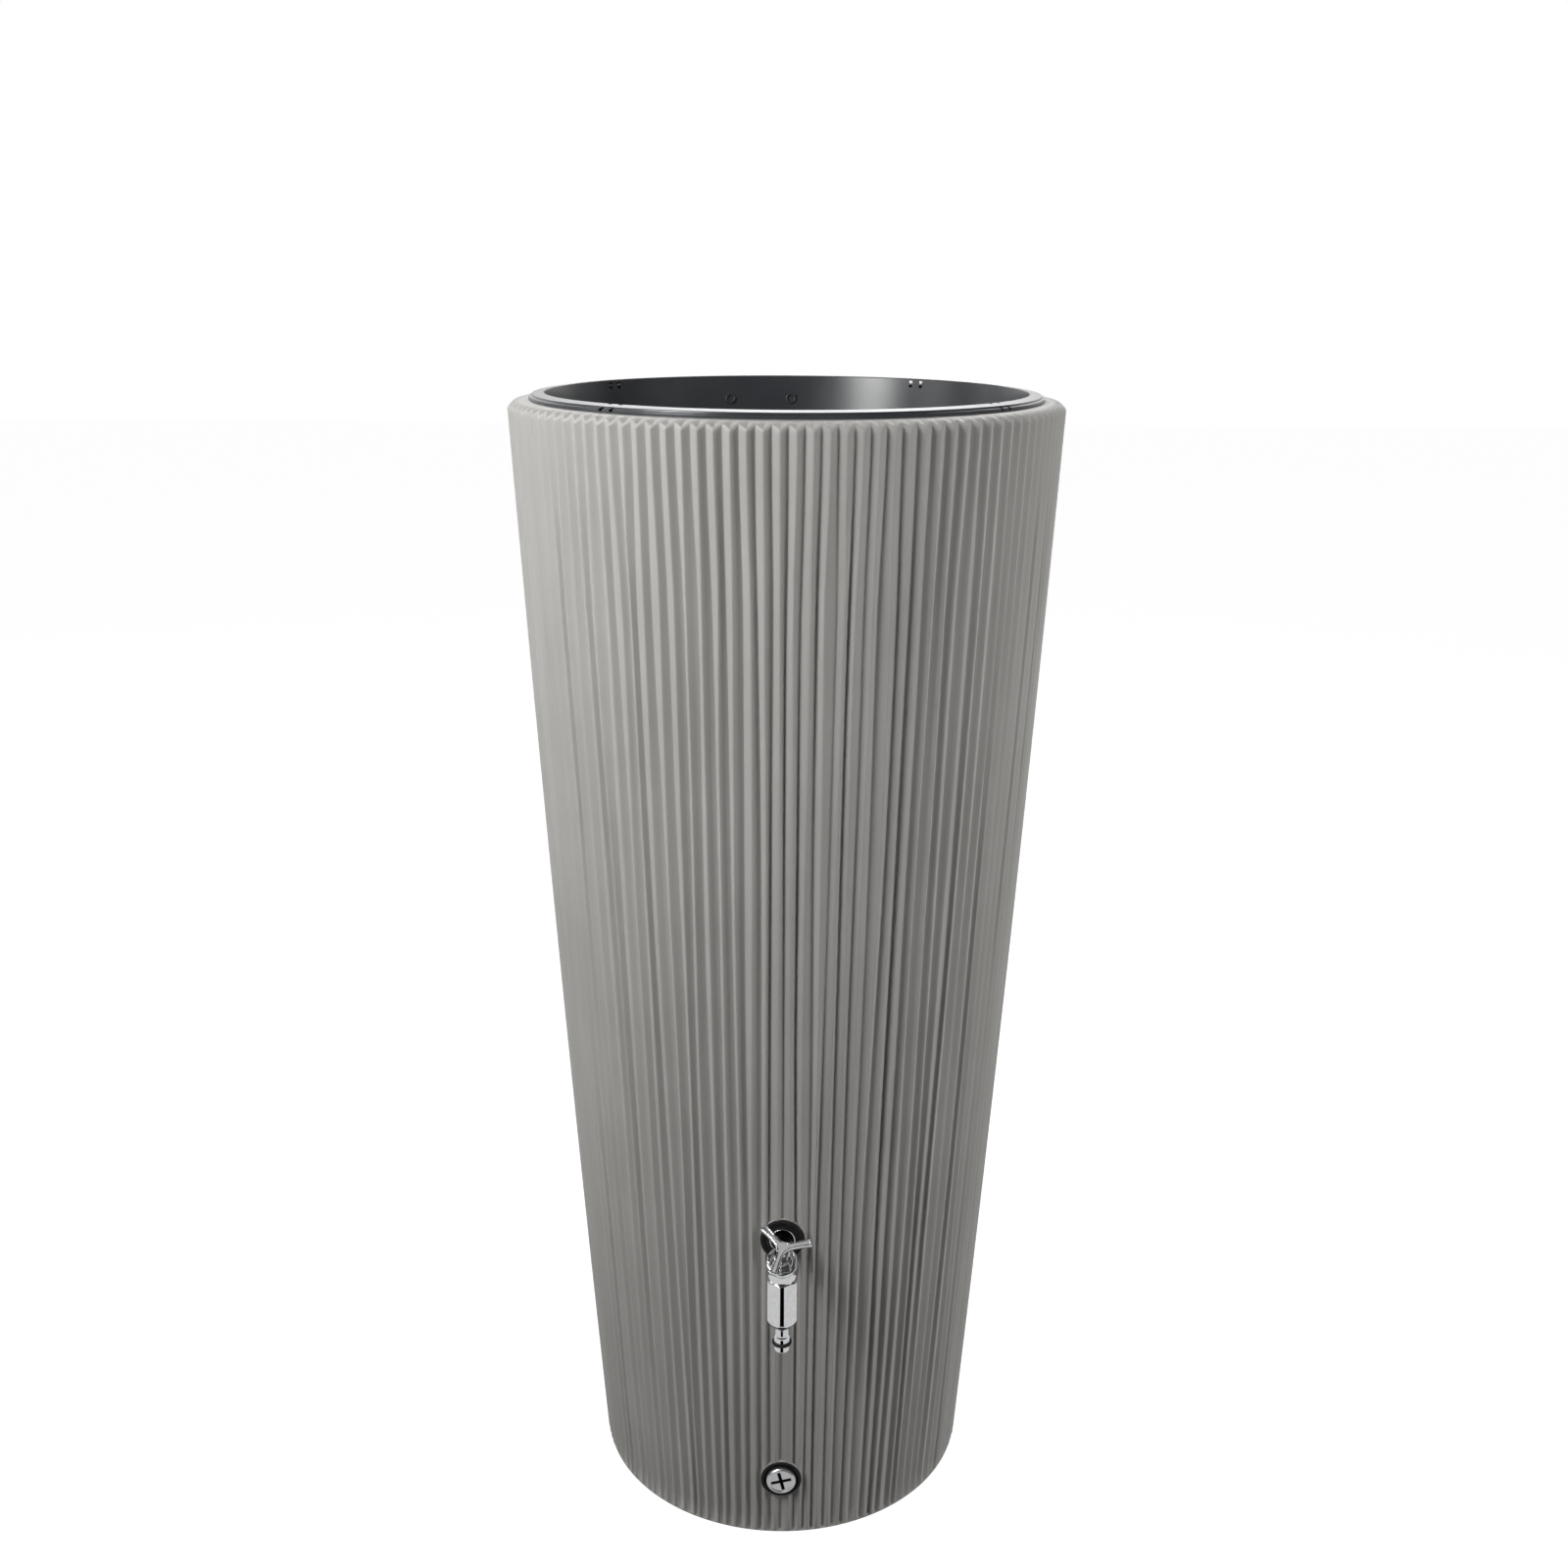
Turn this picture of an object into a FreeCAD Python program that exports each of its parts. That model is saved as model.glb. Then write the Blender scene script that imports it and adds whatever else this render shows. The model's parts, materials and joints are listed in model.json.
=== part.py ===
import FreeCAD, Part
import math
import os

# Rain barrel: a tapered plastic tank with a lift-out planter bowl in its mouth, an angled screw-down
# tap with a hose nipple, and a drain plug near the foot. Millimetres, +Z up, the origin in the middle
# of the foot, the tap at the front (-Y).

# tank
footRadius = 218.0
rimRadius = 290.0
wallBulge = 3.4
shoulderHeight = 1254.0
shoulderRound = 9.0
footRound = 6.0
wallThickness = 5.0
mouthRadius = 257.0
mouthLipDepth = 18.0
footGrooveInner = 60.0
footGrooveOuter = 190.0
footGrooveDepth = 6.0
seatBossRadius = 27.0
seatToolReach = 40.0

# planter bowl
bowlCrest = 1261.6
bowlDepth = 205.0
bowlWall = 3.5
bowlThroat = 251.5
bowlBase = 218.0
bowlBaseRound = 16.0
beadRadius = 263.4
crestFall = 1.8
lipRadius = 267.5
lipHeight = 3.8
slotTurns = (53.3, 141.3, 231.0, 321.3)
slotWidth = 3.4
slotTall = 2.4
slotSpread = 13.4
slotRows = ((0.6, 4.0), (4.6, 20.0), (8.4, 7.0))
ringMarkTurns = (88.8, 105.7)
ringMarkDrop = 26.4
ringMarkInner = 4.3
ringMarkOuter = 6.0
ringMarkRoot = 3.0
ringMarkRise = 1.2
bowlSeatGap = 2.0
lipRound = 1.2
throatRound = 1.5

# tap
tapHeight = 401.0
tapSeat = 241.5
tapPocketRadius = 23.6
tapPocketWall = 7.0
rosetteRadius = 22.6
rosetteThick = 3.2
tailRadius = 10.48
tailLength = 14.0
ringRadius = 13.6
ringThick = 2.0
neckRadius = 9.5
inletRadius = 4.5
inletRaise = 3.0
chamberReach = 299.0
spindleLean = 32.0
chamberRadius = 16.0
bossEnd = 14.0
bonnetThread = 14.0
bonnetRadius = 16.2
bonnetFace = 20.0
valveBore = 10.5
valveSeat = -8.0
seatRadius = 5.5
spindleThread = 6.0
spindleStem = 4.0
jumperPlate = 9.0
jumperStem = 2.3
jumperStud = 1.6
washerRadius = 8.4
washerNutFlats = 5.5
drivePin = 3.4
towerRadius = 8.6
towerTop = 29.0
packingRadius = 6.4
hubFloor = 41.0
setScrewLevel = 43.5
setScrewRadius = 1.8
handleBack = 38.0
handleFace = 52.5
armReach = 30.0
armWidth = 8.6
armTurns = (11.7, 131.7, 251.7)
armWaist = 0.86
hubRadius = 7.4
webRadius = 7.0
handleThick = 6.0
channelDepth = 1.2
channelRim = 1.6
outletThread = 13.2
outletTop = 391.6
outletBottom = 380.0
outletBore = 7.0
spoutTopRadius = 15.2
spoutEndRadius = 14.2

# hose adapter and nipple
hexFlats = 30.0
hexTop = 391.2
hexBottom = 336.0
adapterBore = 6.5
nippleTip = 304.5
nippleSealThick = 1.4
nippleThread = 7.8
nippleWaist = 7.3
nippleHead = 8.5
nippleEnd = 8.3
nippleBore = 4.3
grooveFloor = 6.1
grooveLevel = 8.6
oRingSection = 1.4

# drain plug
drainHeight = 78.5
drainSeat = 216.0
drainPocketRadius = 22.9
drainPocketWall = 9.0
sealRadius = 22.2
sealThick = 4.0
plugThread = 13.2
plugHeadRadius = 16.6
plugHeadThick = 8.5
crossTurn = 14.0
crossReach = 23.5
crossWidth = 3.4
crossDepth = 5.0

# threaded bushes
insertWall = 3.2
insertFlange = 3.0

# fits
runningGap = 0.07
threadGap = 0.05
tiny = 0.01


def wallRadius(height):
    """Outer radius of the tank at a height: a straight taper with a slight outward bulge."""
    part = height / shoulderHeight
    return footRadius + (rimRadius - footRadius) * part + 4 * wallBulge * part * (1 - part)


def xz(radius, height):
    return FreeCAD.Vector(radius, 0, height)


def line(a, b):
    return Part.LineSegment(a, b).toShape()


def arc(a, middle, b):
    return Part.Arc(a, middle, b).toShape()


def corner(centre, radius, fromDeg, toDeg):
    """A round corner in the XZ plane, from one angle to another about its centre."""
    angles = [math.radians(d) for d in (fromDeg, (fromDeg + toDeg) / 2, toDeg)]
    points = [centre + FreeCAD.Vector(radius * math.cos(a), 0, radius * math.sin(a)) for a in angles]
    return arc(*points)


def chain(parts):
    """Joins points and ready-made edges, given in order, into one closed outline."""
    edges = []
    ends = []
    for item in parts:
        if isinstance(item, FreeCAD.Vector):
            ends.append((item, item, None))
        else:
            ends.append((item.valueAt(item.FirstParameter), item.valueAt(item.LastParameter), item))
    for index, (start, finish, edge) in enumerate(ends):
        if edge is not None:
            edges.append(edge)
        following = ends[(index + 1) % len(ends)][0]
        if (following - finish).Length > tiny:
            edges.append(line(finish, following))
    return Part.Wire(edges)


def turned(parts):
    """A solid of revolution about +Z from an outline in the XZ plane."""
    face = Part.Face(chain(parts))
    return face.revolve(FreeCAD.Vector(), FreeCAD.Vector(0, 0, 1), 360)


def lathe(*pairs):
    return turned([xz(r, h) for r, h in pairs])


def rod(radius, low, high):
    return Part.makeCylinder(radius, high - low, FreeCAD.Vector(0, 0, low))


def tube(inner, outer, low, high):
    return rod(outer, low, high).cut(rod(inner, low - 1, high + 1))


def block(sizeX, sizeY, low, high):
    corner0 = FreeCAD.Vector(-sizeX / 2, -sizeY / 2, low)
    return Part.makeBox(sizeX, sizeY, high - low, corner0)


def torus(ringR, sectionR, height):
    return Part.makeTorus(ringR, sectionR, FreeCAD.Vector(0, 0, height))


def atWall(shape, depth, height):
    """Moves a shape made about +Z so that +Z points out of the front wall."""
    shape.Placement = FreeCAD.Placement(
        FreeCAD.Vector(0, -depth, height), FreeCAD.Rotation(FreeCAD.Vector(1, 0, 0), 90))
    return shape


def atSpindle(shape):
    """Moves a shape made about +Z onto the leaning spindle line, with 0 at the valve chamber's middle."""
    shape.Placement = FreeCAD.Placement(
        FreeCAD.Vector(0, -chamberReach, tapHeight), FreeCAD.Rotation(FreeCAD.Vector(1, 0, 0), spindleLean))
    return shape


def atOutlet(shape):
    """Moves a shape made about +Z onto the tap's upright outlet line."""
    shape.Placement = FreeCAD.Placement(FreeCAD.Vector(0, -chamberReach, 0), FreeCAD.Rotation())
    return shape


def joined(shapes):
    return shapes[0].fuse(shapes[1:]).removeSplitter()


# tank

def tankOuter():
    low = xz(footRadius, footRound)
    high = xz(rimRadius, shoulderHeight - shoulderRound)
    middle = xz(wallRadius(shoulderHeight / 2), shoulderHeight / 2)
    return turned([
        xz(0, 0),
        corner(xz(footRadius - footRound, footRound), footRound, -90, 0),
        arc(low, middle, high),
        corner(xz(rimRadius - shoulderRound, shoulderHeight - shoulderRound), shoulderRound, 0, 90),
        xz(0, shoulderHeight)])


def tankInner():
    t = wallThickness
    floor = t + footGrooveDepth
    low = xz(footRadius - t + 1, floor + footRound)
    high = xz(rimRadius - t, shoulderHeight - shoulderRound - t)
    middle = xz(wallRadius(shoulderHeight / 2) - t, shoulderHeight / 2)
    top = shoulderHeight - t
    return turned([
        xz(0, floor),
        xz(footRadius - t - 6, floor),
        arc(low, middle, high),
        corner(xz(high.x - 4, top - 4), 4, 0, 90),
        xz(mouthRadius + t, top),
        xz(mouthRadius + t, shoulderHeight - mouthLipDepth),
        xz(mouthRadius, shoulderHeight - mouthLipDepth),
        xz(mouthRadius, shoulderHeight + 5),
        xz(0, shoulderHeight + 5)])


def barrelShell():
    """The tank: an even wall with a turned-in mouth, a grooved foot and two thickened fitting seats."""
    outer = tankOuter()
    shell = outer.cut(tankInner())
    tapBoss = atWall(rod(seatBossRadius, -tapPocketWall, 20), tapSeat, tapHeight).common(outer)
    drainBoss = atWall(rod(seatBossRadius, -drainPocketWall, 20), drainSeat, drainHeight).common(outer)
    shell = joined([shell, tapBoss, drainBoss])
    cuts = [
        tube(footGrooveInner, footGrooveOuter, -1, footGrooveDepth),
        atWall(rod(tapPocketRadius, 0, seatToolReach), tapSeat, tapHeight),
        atWall(rod(insertRadius(tailRadius), -seatToolReach, 1), tapSeat, tapHeight),
        atWall(rod(drainPocketRadius, 0, seatToolReach), drainSeat, drainHeight),
        atWall(rod(insertRadius(plugThread), -seatToolReach, 1), drainSeat, drainHeight)]
    for tool in cuts:
        shell = shell.cut(tool)
    return shell


def insertRadius(threadRadius):
    return threadRadius + insertWall


def brassInsert(threadRadius, gap, wall):
    """A threaded bush moulded into a fitting seat, with a flange inside the tank."""
    outer = insertRadius(threadRadius)
    return lathe(
        (threadRadius + gap, -wall - insertFlange), (outer + insertFlange, -wall - insertFlange),
        (outer + insertFlange, -wall),
        (outer, -wall), (outer, 0), (threadRadius + gap, 0))


def tapInsert():
    return atWall(brassInsert(tailRadius, threadGap, tapPocketWall), tapSeat, tapHeight)


def drainInsert():
    return atWall(brassInsert(plugThread, runningGap, drainPocketWall), drainSeat, drainHeight)


# planter bowl

def bowlInside(height):
    """Inner radius of the bowl at a height: a straight draft from the throat to the base."""
    return bowlBase + (bowlThroat - bowlBase) * (height - bowlCrest + bowlDepth) / bowlDepth


def bowlBody():
    t = bowlWall
    floor = bowlCrest - bowlDepth
    under = floor - t
    lipTop = shoulderHeight + lipHeight
    seatInner = mouthRadius - bowlSeatGap
    r = bowlBaseRound
    return turned([
        xz(0, under),
        corner(xz(bowlBase + t - r, under + r), r, -90, 0),
        xz(seatInner, shoulderHeight - 6),
        xz(seatInner, shoulderHeight),
        xz(lipRadius, shoulderHeight),
        corner(xz(lipRadius - lipRound, lipTop - lipRound), lipRound, 0, 90),
        xz(beadRadius + 1.2, lipTop),
        xz(beadRadius + 1.0, bowlCrest - crestFall - 0.8),
        xz(beadRadius, bowlCrest - crestFall),
        corner(xz(bowlThroat + throatRound, bowlCrest - throatRound), throatRound, 90, 180),
        corner(xz(bowlBase - r + 2, floor + r - 2), r - 2, 0, -90),
        xz(0, floor)])


def turnAbout(shape, degrees):
    copy = shape.copy()
    copy.rotate(FreeCAD.Vector(), FreeCAD.Vector(0, 0, 1), degrees)
    return copy


def slotTools():
    """Four pairs of slots in the bowl's rim. Each has a notch in the crest, a window that runs right
    through the rim above the tank's shoulder, and a window into the gap below it."""
    tools = []
    for turn in slotTurns:
        for side in (-1, 1):
            for drop, depth in slotRows:
                middle = bowlCrest - drop
                tool = block(2 * depth, slotWidth, middle - slotTall / 2, middle + slotTall / 2)
                tool.translate(FreeCAD.Vector(bowlThroat, side * slotSpread / 2, 0))
                tools.append(turnAbout(tool, turn))
    return tools


def ringMark(turn):
    """A small raised ring on the bowl's inner wall that marks where a hole may be drilled."""
    height = bowlCrest - ringMarkDrop
    ring = tube(ringMarkInner, ringMarkOuter, -ringMarkRoot, ringMarkRise)
    ring.Placement = FreeCAD.Placement(
        FreeCAD.Vector(bowlInside(height), 0, height), FreeCAD.Rotation(FreeCAD.Vector(0, 1, 0), -90))
    return turnAbout(ring, turn)


def planterBowl():
    bowl = joined([bowlBody()] + [ringMark(turn) for turn in ringMarkTurns])
    for tool in slotTools():
        bowl = bowl.cut(tool)
    return bowl


# tap, fixed pieces

def tapRosette():
    """Black flange seal between the tap and the tank: a low stepped cone."""
    r = rosetteRadius
    t = rosetteThick
    ring = lathe(
        (tailRadius + threadGap, 0), (r, 0), (r, t - 1.6), (r - 1.0, t - 0.6),
        (ringRadius + 4, t - 0.6), (ringRadius + 3, t), (tailRadius + threadGap, t))
    return atWall(ring, tapSeat, tapHeight)


def tapLockRing():
    low = rosetteThick
    high = low + ringThick
    ring = lathe(
        (tailRadius + threadGap, low), (ringRadius, low), (ringRadius, high - 0.8),
        (ringRadius - 0.8, high), (tailRadius + threadGap, high))
    return atWall(ring, tapSeat, tapHeight)


def tapBody():
    """Tail, neck, valve chamber with its slanting boss, and the tapering outlet with its thread."""
    reach = chamberReach - tapSeat
    neckStart = rosetteThick + ringThick
    tail = atWall(rod(tailRadius, -tailLength, neckStart), tapSeat, tapHeight)
    neck = atWall(rod(neckRadius, neckStart - 1, reach), tapSeat, tapHeight)
    ball = Part.makeSphere(chamberRadius, FreeCAD.Vector(0, -chamberReach, tapHeight))
    boss = atSpindle(rod(chamberRadius, 0, bossEnd))
    spout = atOutlet(lathe(
        (0, tapHeight + 2), (spoutTopRadius, tapHeight + 2), (spoutEndRadius, outletTop),
        (outletThread, outletTop),
        (outletThread, outletBottom + 1), (outletThread - 1, outletBottom), (0, outletBottom)))
    body = joined([tail, neck, ball, boss, spout])
    inlet = atWall(rod(inletRadius, -tailLength - 6, reach - 8), tapSeat, tapHeight + inletRaise)
    cuts = [
        inlet,
        atSpindle(rod(valveBore, valveSeat, 4)),
        atSpindle(rod(bonnetThread + threadGap, 3, bossEnd + 5)),
        atSpindle(rod(seatRadius, valveSeat - 7, valveSeat + 1)),
        atOutlet(rod(outletBore, outletBottom - 5, tapHeight - 9))]
    for tool in cuts:
        body = body.cut(tool)
    return body


def bonnetGasket():
    return atSpindle(tube(bonnetThread + threadGap, chamberRadius - 0.4, bossEnd, bossEnd + 1))


def tapBonnet():
    """Screws into the boss: a dished face with a raised rim, and a tower that guides the spindle."""
    low = 4.5
    flange = bossEnd + 1
    r = spindleThread + runningGap
    bore = spindleStem + runningGap
    dish = bonnetFace - 2.2
    bonnet = lathe(
        (r, low), (bonnetThread, low), (bonnetThread, flange), (bonnetRadius, flange),
        (bonnetRadius, bonnetFace - 1.2), (bonnetRadius - 1.2, bonnetFace),
        (bonnetRadius - 3.4, bonnetFace), (bonnetRadius - 4.6, dish),
        (towerRadius, dish), (towerRadius, towerTop), (packingRadius, towerTop),
        (packingRadius, towerTop - 3), (bore, towerTop - 3), (bore, towerTop - 5), (r, towerTop - 5))
    return atSpindle(bonnet)


def glandPacking():
    return atSpindle(tube(spindleStem + runningGap, packingRadius - threadGap, towerTop - 3, towerTop - 0.6))


def glandNut():
    """Presses the packing round the spindle; six flats outside."""
    hexagon = hexPrism(2 * towerRadius - 1.6, towerTop, towerTop + 4)
    cap = hexagon.common(rod(towerRadius, towerTop, towerTop + 4))
    nut = joined([cap, rod(packingRadius - threadGap, towerTop - 0.6, towerTop + 1)])
    return atSpindle(nut.cut(rod(spindleStem + runningGap, 0, 60)))


def hexPrism(flats, low, high):
    """A hexagonal bar about +Z with one edge facing -Y."""
    reach = flats / math.sqrt(3)
    angles = [math.radians(-90 + 60 * k) for k in range(7)]
    points = [FreeCAD.Vector(reach * math.cos(a), reach * math.sin(a), low) for a in angles]
    return Part.Face(Part.makePolygon(points)).extrude(FreeCAD.Vector(0, 0, high - low))


# tap, moving pieces

def spindle():
    """Turns with the handle; its thick lower end is the lifting screw, bored for the jumper's stem."""
    bar = joined([
        rod(spindleThread, 1, 17), rod(spindleStem, 16, hubFloor), rod(drivePin, hubFloor - 1, hubFloor + 7)])
    return atSpindle(bar.cut(rod(jumperStem + runningGap, 0, 14)))


def jumper():
    """The valve disc: a plate with a guide stem above and a threaded stud for the washer below."""
    plate = rod(jumperPlate, valveSeat + 4, valveSeat + 7)
    return atSpindle(joined([plate, rod(jumperStem, -2, 12), rod(jumperStud, valveSeat - 2, valveSeat + 5)]))


def valveWasher():
    return atSpindle(tube(jumperStud + threadGap, washerRadius, valveSeat, valveSeat + 4))


def washerNut():
    nut = hexPrism(washerNutFlats, valveSeat - 2, valveSeat)
    return atSpindle(nut.cut(rod(jumperStud + threadGap, -40, 40)))


def arm(width, reach, low, high):
    """One handle arm along +X from the centre, slightly waisted, with a squared tip."""
    half = width / 2
    points = [
        FreeCAD.Vector(0, -half, low), FreeCAD.Vector(reach * 0.45, -half * armWaist, low),
        FreeCAD.Vector(reach - 1, -half, low), FreeCAD.Vector(reach, -half + 1, low),
        FreeCAD.Vector(reach, half - 1, low), FreeCAD.Vector(reach - 1, half, low),
        FreeCAD.Vector(reach * 0.45, half * armWaist, low), FreeCAD.Vector(0, half, low)]
    outline = Part.makePolygon(points + [points[0]])
    return Part.Face(outline).extrude(FreeCAD.Vector(0, 0, high - low))


def webPlate(radius, low, high):
    """The rounded middle of the handle, where the arms run together."""
    return rod(radius, low, high)


def handle():
    """Three flat arms round a hub; a shallow channel runs along the face of each."""
    plateLow = handleFace - handleThick
    floor = handleFace - channelDepth
    above = handleFace + 1
    arms = [turnAbout(arm(armWidth, armReach, plateLow, handleFace), turn) for turn in armTurns]
    web = webPlate(webRadius, plateLow, handleFace)
    body = joined([rod(hubRadius, handleBack, plateLow + 1), web] + arms)
    channels = [
        turnAbout(arm(armWidth - 2 * channelRim, armReach - channelRim - 0.2, floor, above), turn)
        for turn in armTurns]
    body = body.cut(joined([webPlate(webRadius - 2, floor, above)] + channels))
    body = body.cut(rod(spindleStem + 0.15, handleBack - 1, hubFloor + 0.1))
    body = body.cut(rod(drivePin + threadGap, hubFloor, hubFloor + 7.2))
    return atSpindle(body.cut(crossRod(setScrewRadius + threadGap, drivePin, 12)))


def crossRod(radius, start, length):
    """A cylinder square to the spindle, through the middle of the handle's hub."""
    return Part.makeCylinder(radius, length, FreeCAD.Vector(0, start, setScrewLevel), FreeCAD.Vector(0, 1, 0))


def handleScrew():
    """Set screw that clamps the handle to the spindle, with a socket in its end."""
    screw = crossRod(setScrewRadius, drivePin + 0.1, 3.6)
    return atSpindle(screw.cut(crossRod(setScrewRadius / 2, drivePin + 2, 2)))


# hose adapter and nipple

def adapterWasher():
    return atOutlet(tube(outletBore, outletThread - 0.3, outletBottom - 2, outletBottom))


def hoseAdapter():
    """Long hexagonal sleeve, chamfered at both ends, that screws onto the outlet."""
    bar = hexPrism(hexFlats, hexBottom, hexTop)
    cornerReach = hexFlats / math.sqrt(3)
    turnedEnds = lathe(
        (0, hexBottom), (hexFlats / 2 - 3.6, hexBottom), (cornerReach + 0.2, hexBottom + 8),
        (cornerReach + 0.2, hexTop - 3.6), (hexFlats / 2 - 0.4, hexTop), (0, hexTop))
    sleeve = bar.common(turnedEnds)
    sleeve = sleeve.cut(rod(outletThread + runningGap, outletBottom - 2, hexTop + 5))
    sleeve = sleeve.cut(rod(adapterBore, hexBottom - 5, hexTop))
    sleeve = sleeve.cut(rod(nippleThread + threadGap, hexBottom - 5, hexBottom + 9))
    return atOutlet(sleeve)


def nippleSeal():
    return atOutlet(tube(nippleThread + threadGap, nippleHead + 1, hexBottom - nippleSealThick, hexBottom))


def hoseNipple():
    """Quick-connect nipple: neck, locking waist, flared head with an O-ring groove, rounded tip."""
    top = hexBottom - nippleSealThick
    groove = nippleTip + grooveLevel
    grooveTop = groove + 2 * oRingSection + 0.1
    nipple = turned([
        xz(nippleBore, hexBottom + 8.5),
        xz(nippleThread, hexBottom + 8.5),
        xz(nippleThread, top),
        xz(nippleHead + 0.4, top),
        xz(nippleHead + 0.4, top - 1.2),
        xz(nippleWaist + 0.4, top - 2.0),
        xz(nippleWaist, top - 10.0),
        xz(nippleHead, top - 13.0),
        xz(nippleHead, grooveTop),
        xz(grooveFloor, grooveTop),
        xz(grooveFloor, groove),
        xz(nippleEnd, groove),
        xz(nippleEnd, nippleTip + 3),
        corner(xz(nippleEnd - 3, nippleTip + 3), 3, 0, -90),
        xz(nippleBore, nippleTip)])
    return atOutlet(nipple)


def nippleORing():
    middle = nippleTip + grooveLevel + oRingSection + 0.05
    return atOutlet(torus(grooveFloor + oRingSection + 0.05, oRingSection, middle))


# drain plug

def drainSeal():
    ring = lathe(
        (plugThread + 0.3, 0), (sealRadius, 0), (sealRadius, sealThick - 1),
        (sealRadius - 1, sealThick), (plugThread + 0.3, sealThick))
    return atWall(ring, drainSeat, drainHeight)


def drainPlug():
    """Round head with a raised rim and a crossed driving recess, on a hollow threaded stem."""
    face = sealThick + plugHeadThick
    r = plugHeadRadius
    body = lathe(
        (0, -11), (plugThread - 1, -11), (plugThread, -10), (plugThread, sealThick), (r, sealThick),
        (r, face - 2.2), (r - 1.0, face - 0.6), (r - 2.2, face), (r - 3.0, face - 0.2),
        (r - 3.6, face - 1.0), (0, face - 1.0))
    for turn in (crossTurn, crossTurn + 90):
        slot = block(crossReach, crossWidth, face - crossDepth, face + 1)
        body = body.cut(turnAbout(slot, turn))
    body = body.cut(rod(plugThread - 3.2, -12, 3))
    return atWall(body, drainSeat, drainHeight)


nodes = {
    "barrel_shell": barrelShell,
    "planter_bowl": planterBowl,
    "tap_insert": tapInsert,
    "drain_insert": drainInsert,
    "tap_rosette": tapRosette,
    "tap_lock_ring": tapLockRing,
    "tap_body": tapBody,
    "bonnet_gasket": bonnetGasket,
    "tap_bonnet": tapBonnet,
    "gland_packing": glandPacking,
    "gland_nut": glandNut,
    "tap_spindle": spindle,
    "valve_jumper": jumper,
    "valve_washer": valveWasher,
    "washer_nut": washerNut,
    "tap_handle": handle,
    "handle_set_screw": handleScrew,
    "adapter_washer": adapterWasher,
    "hose_adapter": hoseAdapter,
    "nipple_seal": nippleSeal,
    "hose_nipple": hoseNipple,
    "nipple_o_ring": nippleORing,
    "drain_seal": drainSeal,
    "drain_plug": drainPlug,
}

os.makedirs("parts", exist_ok=True)
for name, build in nodes.items():
    shape = build()
    box = shape.BoundBox
    print(name, len(shape.Solids), shape.isValid(), round(shape.Volume / 1000, 2), "cm3",
          [round(v, 1) for v in (box.XMin, box.XMax, box.YMin, box.YMax, box.ZMin, box.ZMax)])
    shape.exportStep("parts/" + name + ".step")
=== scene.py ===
import json
import math

import bpy
import numpy as np
from mathutils import Matrix, Vector


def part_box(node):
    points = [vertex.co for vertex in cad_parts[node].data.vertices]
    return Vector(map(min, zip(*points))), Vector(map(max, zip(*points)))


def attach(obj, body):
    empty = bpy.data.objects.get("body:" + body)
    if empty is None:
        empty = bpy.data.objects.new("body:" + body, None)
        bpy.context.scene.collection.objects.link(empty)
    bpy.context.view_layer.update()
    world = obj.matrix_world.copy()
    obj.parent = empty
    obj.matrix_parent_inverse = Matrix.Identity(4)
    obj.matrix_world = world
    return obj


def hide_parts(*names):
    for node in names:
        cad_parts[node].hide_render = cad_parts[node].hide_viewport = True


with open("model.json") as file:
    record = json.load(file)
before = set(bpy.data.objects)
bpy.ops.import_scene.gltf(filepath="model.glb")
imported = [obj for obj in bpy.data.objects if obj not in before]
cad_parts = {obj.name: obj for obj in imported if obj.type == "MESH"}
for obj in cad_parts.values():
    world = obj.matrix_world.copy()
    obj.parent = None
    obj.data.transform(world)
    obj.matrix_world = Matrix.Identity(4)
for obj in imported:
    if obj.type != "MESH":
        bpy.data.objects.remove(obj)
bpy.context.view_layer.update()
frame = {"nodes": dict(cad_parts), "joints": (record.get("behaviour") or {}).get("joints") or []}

nodes = frame["nodes"]
joints = {joint["name"]: joint for joint in frame["joints"]}
scene = bpy.context.scene
scene.view_settings.view_transform = "Standard"
millimetre = 0.001
print("frame loaded,", len(nodes), "nodes")


# shared shape tools

# A line to turn things about: a point on it, its direction, and the direction of angle 0 around it.
def axisAt(origin, along, across=(1, 0, 0)):
    along = np.array(along, float)
    across = np.array(across, float)
    return {"origin": np.array(origin, float), "along": along, "across": across,
            "third": np.cross(along, across)}


# Points at (x, y, height) beside an axis, all in millimetres, as places in the frame in metres.
def placed(axis, x, y, height):
    x, y, height = (np.asarray(part, float)[..., None] for part in (x, y, height))
    return axis["origin"] + millimetre * (x * axis["across"] + y * axis["third"] + height * axis["along"])


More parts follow.
